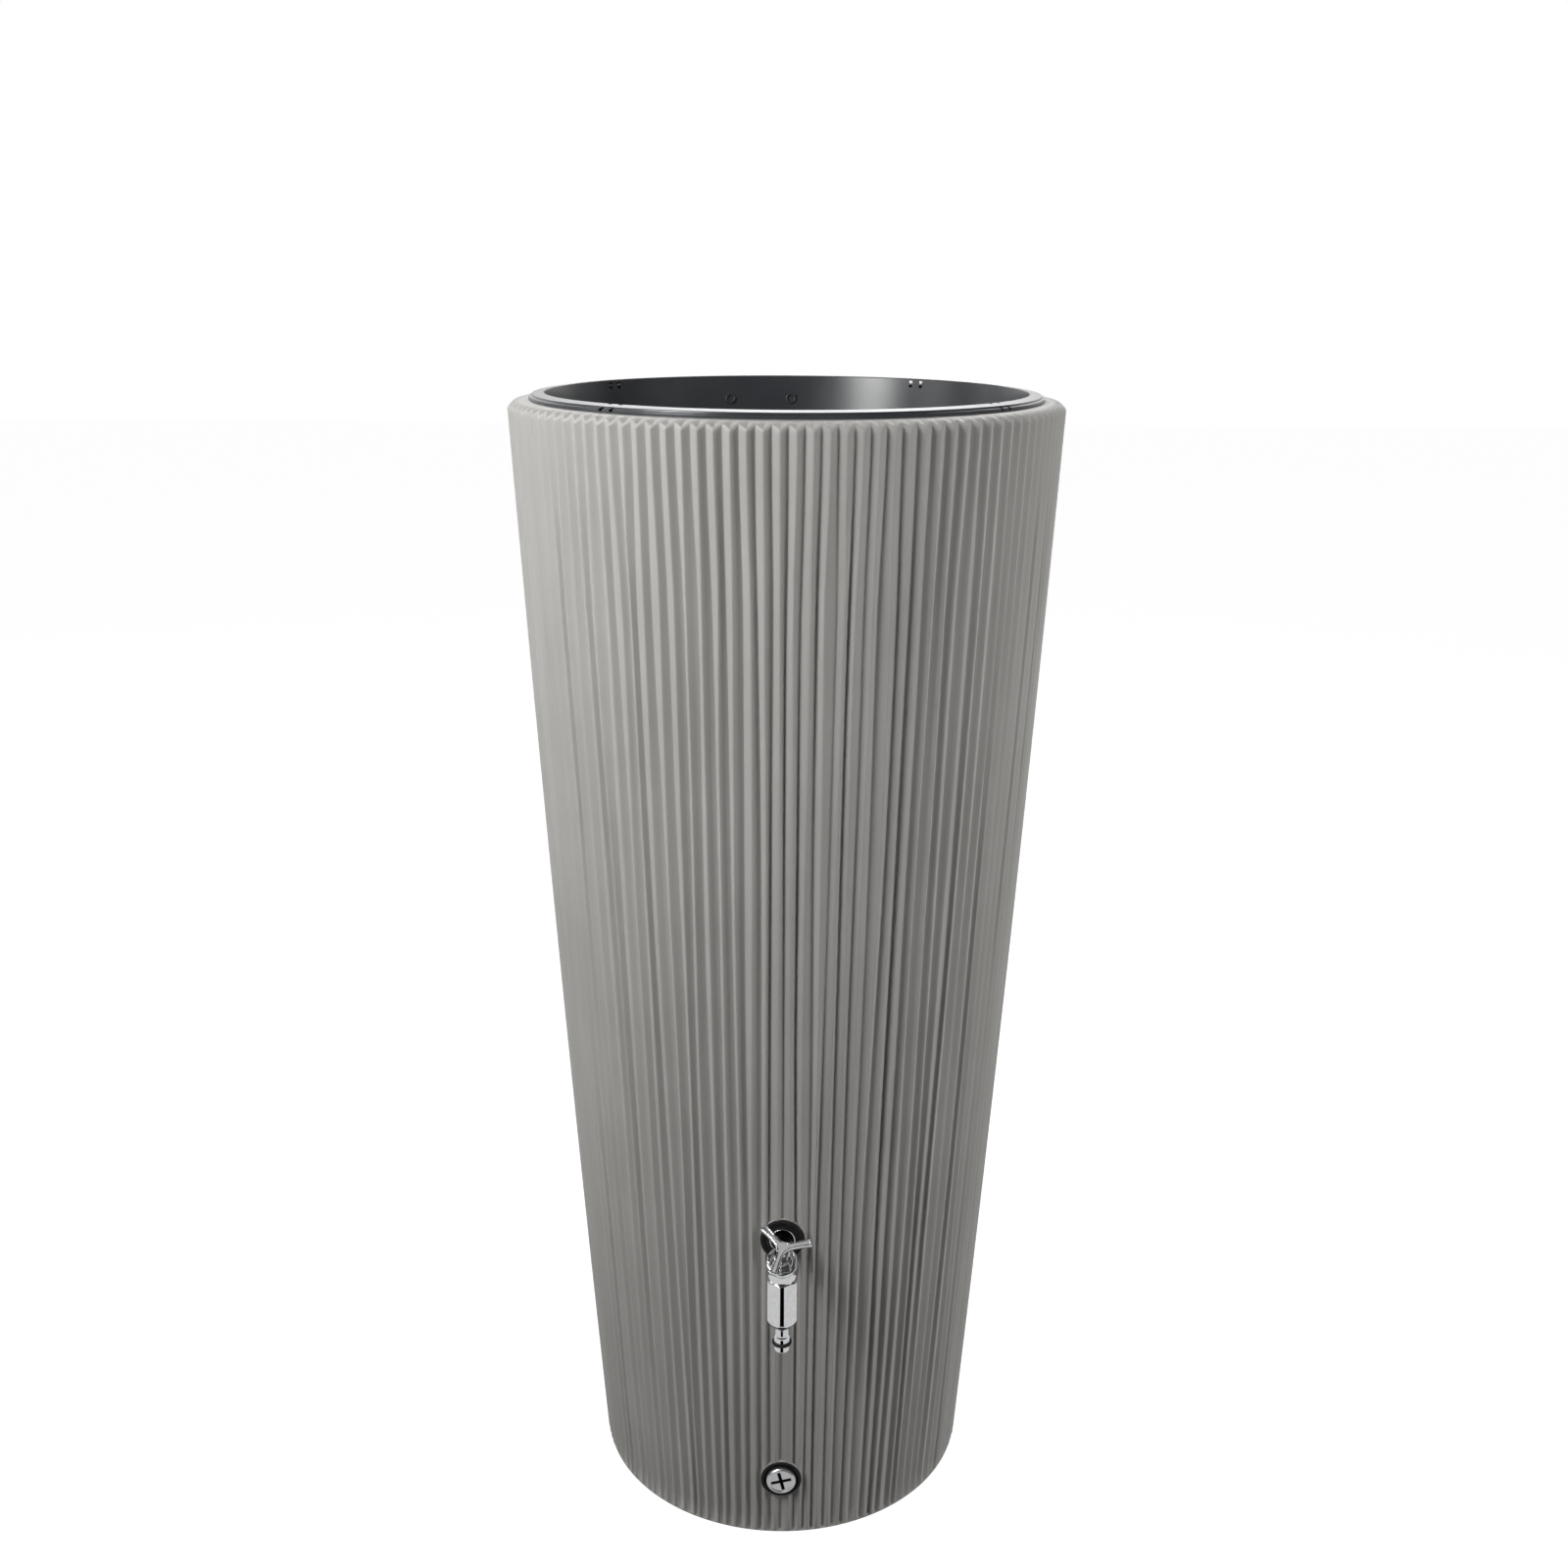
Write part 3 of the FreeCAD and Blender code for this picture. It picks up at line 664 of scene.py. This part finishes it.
casting = {
    "ball": 16.0,
    "boss": (16.0, 14.0),           # radius and length
    "neck": (9.5, reachOut - 1.2),
    "spout": (15.2, 14.2, 9.4),     # radius at the top, radius at the end, length below the middle
    "blend": 1.0,                   # how far the parts melt into each other
    "tail": (10.48, -14.0, 5.2),    # radius, inner end and outer end, from the seat
    "spigot": (13.2, -21.0, 14.0),  # radius, foot below the middle, length
    "outletBore": 7.0,
    "valveBore": 10.5, "valveSeat": -8.0, "seatBore": 5.5, "thread": 14.05,
    "inlet": 4.5, "inletRaise": 3.0,
}


# How far out from the chamber's middle the casting's skin is, in any direction: the smooth union of a
# ball, the boss, the neck and the tapering spout, found by halving the interval on whole arrays.
def castingSkin():
    neckRadius, neckLength = casting["neck"]
    bossRadius, bossLength = casting["boss"]
    topRadius, endRadius, spoutLength = casting["spout"]
    bossWay = np.array(joints["handle_turn"]["axis"])
    neckWay = np.array([0.0, 1.0, 0.0])

    def rodField(point, way, radius, length):
        along = point @ way
        beside = np.sqrt(np.clip((point ** 2).sum(-1) - along ** 2, 0, None))
        return np.maximum(beside - radius, np.maximum(along - length, -along - 2))

    def field(point):
        ball = np.sqrt((point ** 2).sum(-1)) - casting["ball"]
        boss = rodField(point, bossWay, bossRadius, bossLength)
        neck = rodField(point, neckWay, neckRadius, neckLength)
        down = -point[..., 2]
        taper = topRadius + (endRadius - topRadius) * np.clip(down, 0, spoutLength) / spoutLength
        spout = rodField(point, np.array([0.0, 0.0, -1.0]), taper, spoutLength)
        parts = (ball, boss, neck, spout)
        k = casting["blend"]
        return np.minimum(np.minimum.reduce(parts), -k * np.log(sum(np.exp(-part / k) for part in parts)))

    # rings about the neck: along it by even steps, then over the chamber by even angles
    columns = 168
    alongNeck = np.arctan2(neckRadius, np.linspace(neckLength, 17, 22))
    polar = np.concatenate([[0.02, 0.09, 0.9 * alongNeck[0]], alongNeck,
                            np.linspace(alongNeck[-1] + 0.03, math.pi - 0.03, 110)])[:, None]
    around = (np.arange(columns) * 2 * math.pi / columns)[None, :]
    beside = np.sin(polar)
    way = np.stack([beside * np.cos(around), np.cos(polar) + 0 * around, beside * np.sin(around)], -1)
    low = np.full(way.shape[:2], 2.0)
    high = np.full(way.shape[:2], 80.0)
    for halving in range(26):
        middle = (low + high) / 2
        inside = field(way * middle[..., None]) < 0
        low = np.where(inside, middle, low)
        high = np.where(inside, high, middle)
    return way * low[..., None]


# The skin with the threaded tail and spigot joined on, then bored for the water, the valve and the bonnet.
def tapCasting():
    c = casting
    piece = skin("tapCasting", castingSkin() * millimetre + np.array(tapStart), sharp=40)
    tail, tailInner, tailOuter = c["tail"]
    spigot, spigotFoot, spigotLength = c["spigot"]
    bottom = 1000 * tapStart[2] + spigotFoot
    carve(piece, [
        turnedPiece("tailTool", tapSeat, [(tail, tailInner, 0), (tail, tailOuter, 0)]),
        turnedPiece("spigotTool", outletLine, [
            (spigot - 1, bottom, 0), (spigot, bottom + 1, 0), (spigot, bottom + spigotLength, 0)]),
    ], "UNION", 40)
    higher = axisAt(tapSeat["origin"] + np.array([0, 0, c["inletRaise"] * millimetre]), tapSeat["along"])
    carve(piece, [
        turnedPiece("outletTool", outletLine, [
            (c["outletBore"], bottom - 5, 0), (c["outletBore"], bottom + 12, 0)]),
        turnedPiece("chamberTool", spindleLine, [
            (c["seatBore"], c["valveSeat"] - 7, 0), (c["seatBore"], c["valveSeat"], 0),
            (c["valveBore"], c["valveSeat"], 0), (c["valveBore"], 3, 0), (c["thread"], 3, 0),
            (c["thread"], c["boss"][1] + 5, 0)]),
        turnedPiece("inletTool", higher, [(c["inlet"], -20, 0), (c["inlet"], c["neck"][1] - 7, 0)]),
    ], "DIFFERENCE", 40)
    return piece


settle(tapCasting(), shadedNeckChrome, "tank", "chrome", "tap_body")

bonnet = {
    "radius": 16.2, "flange": 15.0, "face": 20.0, "dish": 2.2, "rim": 3.4, "thread": 14.0, "low": 4.5,
    "tower": 8.6, "towerTop": 29.0, "bore": 4.07, "screwBore": 6.07, "packing": 6.4,
}


# The bonnet's section turned about the spindle: thread, flange, raised rim, dish and the gland's tower.
def tapBonnet():
    b = bonnet
    rim, floor, top = b["radius"] - b["rim"], b["face"] - b["dish"], b["towerTop"]
    return turnedPiece("tapBonnet", spindleLine, [
        (b["screwBore"], b["low"], 0), (b["thread"], b["low"], 0), (b["thread"], b["flange"], 0),
        (b["radius"], b["flange"], 0.4), (b["radius"], b["face"], 1.3), (rim, b["face"], 1.0),
        (rim - 1.2, floor, 0.9), (b["tower"], floor, 1.2), (b["tower"], top, 0.5),
        (b["packing"], top, 0), (b["packing"], top - 3, 0), (b["bore"], top - 3, 0),
        (b["bore"], top - 5, 0), (b["screwBore"], top - 5, 0)], closed=True, columns=128)


settle(tapBonnet(), chrome, "tank", "chrome", "tap_bonnet")

handle = {
    "armTurns": (11.7, 131.7, 251.7),
    "armReach": 30.0,
    "armWidth": 8.6,
    "waist": 0.80,
    "tipRound": 1.4,
    "hub": 4.8,
    "fillet": 1.5,
    "plate": 6.0,
    "face": 52.5,
    "rimWidth": 1.2,
    "channel": 1.3,
    "bossRadius": 6.0,
    "boss": 38.0,
    "bore": (4.15, 41.1, 3.45, 48.2),  # radius and end of the wide part, then of the narrow part
    "points": 480,
}


# The handle's outline as a field, below zero inside: a smooth union of a round hub and three waisted bars
# with rounded tips.
def handleField(points):
    parts = [np.hypot(points[:, 0], points[:, 1]) - handle["hub"]]
    tip = handle["tipRound"]
    for degrees in handle["armTurns"]:
        c, s = math.cos(math.radians(degrees)), math.sin(math.radians(degrees))
        along = c * points[:, 0] + s * points[:, 1]
        across = np.abs(-s * points[:, 0] + c * points[:, 1])
        share = np.clip(along / handle["armReach"], 0, 1)
        half = handle["armWidth"] / 2 * (1 - (1 - handle["waist"]) * np.sin(math.pi * share))
        past = along - handle["armReach"] + tip
        beside = across - half + tip
        outside = np.hypot(np.maximum(past, 0), np.maximum(beside, 0))
        inside = np.minimum(np.maximum(past, beside), 0)
        parts.append(np.where(along > 0, outside + inside - tip, 50.0))
    k = handle["fillet"]
    return 0.22 * k - k * np.log(sum(np.exp(-part / k) for part in parts))


# How far out the outline lies in each direction, set in by an inset, found by halving the interval.
def handleReach(ways, inset):
    low = np.full(len(ways), 0.3)
    high = np.full(len(ways), 40.0)
    for halving in range(26):
        middle = (low + high) / 2
        inside = handleField(ways * middle[:, None]) < -inset
        low = np.where(inside, middle, low)
        high = np.where(inside, high, middle)
    return low


# Directions from the hub's middle that pass the outline at even steps of its length.
def handleWays():
    turn = np.linspace(0, 2 * math.pi, 20001)[:-1]
    ways = np.stack([np.cos(turn), np.sin(turn)], -1)
    line = ways * handleReach(ways, 0)[:, None]
    closed = np.vstack([line, line[:1]])
    walked = np.concatenate([[0], np.cumsum(np.hypot(*np.diff(closed, axis=0).T))])
    steps = np.linspace(0, walked[-1], handle["points"] + 1)[:-1]
    found = np.interp(steps, walked, np.append(turn, 2 * math.pi))
    return np.stack([np.cos(found), np.sin(found)], -1)


# The outline carried round the edge's profile: back, side, rounded rim, channel, then in to the middle.
def tapHandle():
    ways = handleWays()

    # rings as (inset from the outline, share of the way out from the middle, height)
    face = handle["face"]
    back = face - handle["plate"]
    rim = handle["rimWidth"]
    floor = face - handle["channel"]
    rings = [
        (0.9, 1, back), (0.3, 1, back + 0.1), (0.0, 1, back + 0.6), (0.0, 1, face - 0.9),
        (0.12, 1, face - 0.4), (0.4, 1, face - 0.1), (0.75, 1, face), (rim - 0.45, 1, face),
        (rim - 0.15, 1, face - 0.12), (rim, 1, face - 0.45), (rim + 0.15, 1, floor + 0.3),
        (rim + 0.55, 1, floor), (rim + 0.9, 1, floor), (rim + 0.9, 0.4, floor), (rim + 0.9, 0.1, floor)]
    grid = []
    for inset, share, level in rings:
        ring = ways * (handleReach(ways, inset) * share)[:, None]
        grid.append(placed(spindleLine, ring[:, 0], ring[:, 1], level + 0 * ring[:, 0]))
    piece = skin("tapHandle", np.stack(grid), sharp=40)
    hub = turnedPiece("hubTool", spindleLine, [
        (handle["bossRadius"], handle["boss"], 0.6), (handle["bossRadius"], back + 2, 0)])
    carve(piece, [hub], "UNION", 40)
    wide, wideEnd, narrow, narrowEnd = handle["bore"]
    bore = turnedPiece("spindleTool", spindleLine, [
        (wide, handle["boss"] - 2, 0), (wide, wideEnd, 0), (narrow, wideEnd, 0), (narrow, narrowEnd, 0)])
    carve(piece, [bore], "DIFFERENCE", 40)
    return flatFaces(piece, spindleLine["along"])


settle(tapHandle(), chrome, "handle", "chrome", "tap_handle")
print("tap made")


# hose adapter and nipple

adapterLow, adapterHigh = (1000 * corner.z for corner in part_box("hose_adapter"))
adapter = {
    "flats": 30.8, "corners": 32.8, "topChamfer": 0.8, "bottomTaper": 8.0, "bottomRadius": 11.4,
    "easing": 110.0, "threadBore": 13.27, "threadEnd": 378.0, "waterway": 6.5, "nippleBore": 7.85,
    "nippleEnd": 9.0,
}


# The sleeve: a hexagon with its edges bevelled flat, cut by a cone at each end. In every direction from
# the middle its radius is the smallest of those of the flats, the bevels and the cone, slightly eased.
def hoseSleeve():
    a = adapter
    columns = 288
    angle = np.arange(columns) * 2 * math.pi / columns
    bottom, top = adapterLow, adapterHigh
    reach = a["corners"] / 2 + 0.3
    tall = np.concatenate([
        [bottom], bottom + np.linspace(0.5, a["bottomTaper"] + 0.5, 14),
        np.linspace(bottom + 12, top - 6, 8), top - np.linspace(a["topChamfer"] + 1.2, 0.35, 14), [top]])
    topRadius = a["flats"] / 2 - 0.4
    cone = np.minimum(
        a["bottomRadius"] + (reach - a["bottomRadius"]) * (tall - bottom) / a["bottomTaper"],
        topRadius + (reach - topRadius) * (top - tall) / a["topChamfer"])[:, None]
    cone[0] -= 0.4
    cone[-1] -= 0.3
    p = a["easing"]
    total = cone ** -p
    for size, first in ((a["flats"], 0), (a["corners"], 30)):
        for side in range(6):
            facing = np.maximum(np.cos(angle - math.radians(first + 60 * side)), 0.4)
            total = total + (size / 2 / facing) ** -p
    outer = total ** (-1 / p)
    thread, waterway, narrow = a["threadBore"], a["waterway"], a["nippleBore"]
    bores = np.array([
        (thread + 0.4, top), (thread, top - 0.4), (thread, a["threadEnd"]), (waterway, a["threadEnd"]),
        (waterway, bottom + a["nippleEnd"]), (narrow, bottom + a["nippleEnd"]), (narrow, bottom + 0.4),
        (narrow + 0.4, bottom)])
    radius = np.vstack([outer, bores[:, :1] + 0 * angle])
    level = np.concatenate([tall, bores[:, 1]])[:, None] + 0 * angle
    grid = placed(outletLine, radius * np.cos(angle), radius * np.sin(angle), level)
    return skin("hoseSleeve", grid, True, 50)


settle(hoseSleeve(), chrome, "hose_end", "chrome", "hose_adapter")

nippleLow = 1000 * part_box("hose_nipple")[0].z
nipple = {
    "thread": 7.8, "threadLength": 8.5, "seal": 1.4, "bore": 4.3, "waist": 7.3, "head": 8.5, "end": 8.3,
    "groove": 6.1, "grooveLevel": 8.6, "ring": 1.4, "fuller": 0.7,
}


# The nipple's section turned about the outlet: thread, collar, waist, head with its groove, rounded tip.
def hoseNipple():
    n = nipple
    top = adapterLow - n["seal"]
    threadTop = adapterLow + n["threadLength"]
    groove = nippleLow + n["grooveLevel"] - n["fuller"]
    grooveTop = groove + 2 * (n["ring"] + n["fuller"]) + 0.1
    return turnedPiece("hoseNipple", outletLine, [
        (n["bore"], threadTop, 0), (n["thread"], threadTop, 0), (n["thread"], top, 0),
        (n["head"] + 0.4, top, 0.2), (n["head"] + 0.4, top - 1.4, 0.5), (n["waist"], top - 2.6, 1.4),
        (n["waist"], top - 10.0, 2.0), (n["head"], top - 13.0, 1.2), (n["head"], grooveTop, 0.3),
        (n["groove"], grooveTop, 0.2), (n["groove"], groove, 0.2), (n["end"], groove, 0.3),
        (n["end"], nippleLow + 1.5, 2.6), (n["end"] - 2.6, nippleLow, 1.0), (n["bore"], nippleLow, 0.4)],
        closed=True)


settle(hoseNipple(), chrome, "hose_end", "chrome", "hose_nipple")


# A ring of round section, as two angles: once round the axis and once round the section.
def oRing():
    rows, columns = 24, 96
    across = np.arange(rows)[:, None] * 2 * math.pi / rows
    around = np.arange(columns)[None, :] * 2 * math.pi / columns
    section = nipple["ring"] + nipple["fuller"]
    radius = nipple["groove"] + section + 0.05 + section * np.cos(across)
    level = nippleLow + nipple["grooveLevel"] + nipple["ring"] + 0.05 + section * np.sin(across)
    grid = placed(outletLine, radius * np.cos(around), radius * np.sin(around), level + 0 * around)
    return skin("nippleRing", grid, True)


settle(oRing(), blackRubber, "hose_end", "black_rubber", "nipple_o_ring")
print("adapter and nipple made")


# the drain plug

drain = {
    "seal": 22.2, "sealThick": 4.0, "sealLip": 8.4, "sealLipWide": 2.4, "sealBore": 13.5,
    "thread": 13.2, "threadEnd": -11.0, "threadWall": 3.2, "head": 16.6, "headThick": 8.5,
    "crossTurn": 14.0, "crossReach": 23.5, "crossWidth": 3.8, "crossDepth": 5.0,
}

settle(turnedPiece("drainSeal", drainSeat, [
    (drain["sealBore"], 0, 0), (drain["seal"], 0, 0.2), (drain["seal"], drain["sealLip"], 1.2),
    (drain["seal"] - drain["sealLipWide"], drain["sealLip"], 0.9),
    (drain["head"] + 1.2, drain["sealThick"], 0.3), (drain["sealBore"], drain["sealThick"], 0.3)],
    closed=True),
    blackRubber, "plug_seal", "black_rubber", "drain_seal")


# The plug's section turned about its axis, with a cross cut into its face and a bore up its thread.
def drainPlug():
    d = drain
    face = d["sealThick"] + d["headThick"]
    end, hollow = d["threadEnd"], d["thread"] - d["threadWall"]
    piece = turnedPiece("drainPlug", drainSeat, [
        (9, end, 0), (d["thread"] - 0.4, end, 0.6), (d["thread"], end + 1.4, 0.2),
        (d["thread"], d["sealThick"], 0), (d["head"], d["sealThick"], 0.3), (d["head"], face - 1.6, 1.0),
        (d["head"] - 1.6, face, 1.2), (d["head"] - 2.8, face, 0.7), (d["head"] - 3.8, face - 1.0, 0.8),
        (8, face - 1.0, 0)], columns=128)
    half = (d["crossReach"] / 2, d["crossWidth"] / 2, d["crossDepth"])
    cross = [boxTool("cross", drainSeat, (0, 0, face), half, math.radians(d["crossTurn"] + quarter))
             for quarter in (0, 90)]
    bore = turnedPiece("plugBore", drainSeat, [(hollow, end - 1, 0), (hollow, 3, 0)])
    return flatFaces(carve(piece, cross + [bore], "DIFFERENCE", 40), drainSeat["along"])


settle(drainPlug(), satinMetal, "plug", "satin_metal", "drain_plug")
print("plug made")


# CAD pieces that stay as they are

keptFinishes = {
    "tap_insert": brass, "drain_insert": brass, "valve_jumper": brass, "washer_nut": brass,
    "tap_spindle": steel, "handle_set_screw": steel, "gland_nut": chrome, "bonnet_gasket": fibre,
    "gland_packing": blackRubber, "valve_washer": blackRubber, "adapter_washer": blackRubber,
    "nipple_seal": blackRubber,
}
for name, material in keptFinishes.items():
    nodes[name].data.materials.clear()
    nodes[name].data.materials.append(material)


# floor, lights and camera

stage = {
    "base": 0.30,
    "sheets": (
        # name, middle, two half sides, glow, and whether the camera sees it or only reflections do
        ("floor", (0, 0, -0.0004), (14, 0, 0), (0, 14, 0), 0.97, True),
        ("bounce", (0, 0, -0.0008), (14, 0, 0), (0, 14, 0), 0.62, False),
        ("strip", (0, -1.05, 0), (0.16, 0, 0), (0, 0.6, 0), 0.0, False),
        ("overhead", (0, -0.67, 2.6), (0.12, 0, 0), (0, 0.12, 0), 0.45, False),
        ("crestCard", (0.2, 3.1, 2.85), (2, 0, 0), (0, 0, 0.45), 4.5, False),
        ("leftCard", (-0.8, -0.7, 0.9), (0.15, 0.2, 0), (0, 0, 0.35), 1.1, False),
        ("rightCard", (0.8, -0.7, 0.8), (0.15, -0.2, 0), (0, 0, 0.3), 0.8, False),
        ("backdrop", (0, 3.2, 1.5), (3.4, 0, 0), (0, 0, 1.5), 1.1, False),
    ),
}


# A flat glowing sheet that isn't part of the object.
def addSheet(name, middle, across, up, glow, seen):
    middle, across, up = (np.array(part, float) for part in (middle, across, up))
    corners = [middle + x * across + y * up for x, y in ((-1, -1), (1, -1), (1, 1), (-1, 1))]
    mesh = bpy.data.meshes.new(name)
    mesh.from_pydata([corner.tolist() for corner in corners], [], [(0, 1, 2, 3)])
    card = bpy.data.objects.new(name, mesh)
    scene.collection.objects.link(card)
    base = stage["base"] if seen else 0.0

    def look(shade):
        mottled = shade.blend(shade.noise(1.5, 2.0), colour(base, base, base), colour(*[1.04 * base] * 3))
        return {"Base Color": mottled}, None

    mesh.materials.append(finishOf(name, {
        "Roughness": 0.9, "Specular IOR Level": 0.0, "Emission Color": colour(1, 1, 1),
        "Emission Strength": glow}, look))
    card.visible_camera = seen
    card.visible_glossy = not seen
    card.visible_diffuse = False
    card.visible_shadow = False
    card.visible_transmission = False


for row in stage["sheets"]:
    addSheet(*row)

studio = {
    "ambient": 0.05,
    "below": 0.02,
    "lights": (
        # name, place, aimed at, size, watts, whether reflections show it
        ("key", (-1.15, -1.0, 1.95), (0, 0, 0.95), (0.5, 0.6), 18.0, True),
        ("farKey", (-1.75, -1.55, 1.95), (0, 0, 0.85), (0.9, 1.1), 18.8, True),
        ("left", (-2.4, -0.2, 1.7), (0, 0, 0.8), (0.8, 1.2), 6.9, True),
        ("sideBack", (-2.2, 1.4, 1.9), (0, 0, 0.8), (0.8, 1.4), 4.4, True),
        ("right", (2.45, -0.85, 1.5), (0, 0, 0.8), (0.8, 1.2), 37.0, False),
        ("rightBack", (2.2, 1.4, 1.7), (0, 0, 0.8), (0.8, 1.4), 2.0, True),
        ("back", (0.3, 3.0, 2.85), (0, 0, 1.2), (2.6, 0.9), 26.0, True),
    ),
}


def addLights():
    for name, place, target, size, watts, reflected in studio["lights"]:
        lamp = bpy.data.lights.new(name, "AREA")
        lamp.shape = "RECTANGLE"
        lamp.size, lamp.size_y = size
        lamp.energy = watts
        holder = bpy.data.objects.new(name, lamp)
        holder.location = place
        holder.rotation_euler = (Vector(target) - Vector(place)).to_track_quat("-Z", "Y").to_euler()
        holder.visible_camera = False
        holder.visible_glossy = reflected
        scene.collection.objects.link(holder)


# Soft room light from above, dim from below, against a white backdrop.
def addWorld():
    world = bpy.data.worlds.new("studioRoom")
    scene.world = world
    world.use_nodes = True
    tree = world.node_tree
    tree.nodes.clear()
    shade = Shade(tree)
    way = shade.make("TexCoord", output="Generated")
    up = shade.make("SeparateXYZ", None, {"Vector": way}, "Z")
    above = shade.between(up, -0.12, 0.25)
    strength = studio["below"] + (studio["ambient"] - studio["below"]) * above
    seen = shade.make("LightPath", output="Is Camera Ray")
    strength = strength + seen * (1.0 - strength)
    background = shade.make("Background", None, {"Color": colour(1, 1, 1), "Strength": strength})
    shade.make("OutputWorld", None, {"Surface": background}, None)


def addCamera():
    camera = bpy.data.objects.new("camera", bpy.data.cameras.new("camera"))
    camera.data.sensor_width = 36.0
    camera.data.lens = 36.0 * 1694 / 1600
    camera.data.clip_end = 60.0
    place = Matrix.Translation((-0.0008, -1.780, 1.383))
    tilt = Matrix.Rotation(math.radians(72.75), 4, "X")
    roll = Matrix.Rotation(math.radians(0.30), 4, "Z")
    camera.matrix_world = place @ tilt @ roll
    scene.collection.objects.link(camera)
    scene.camera = camera


addLights()
addWorld()
addCamera()
print("studio made")
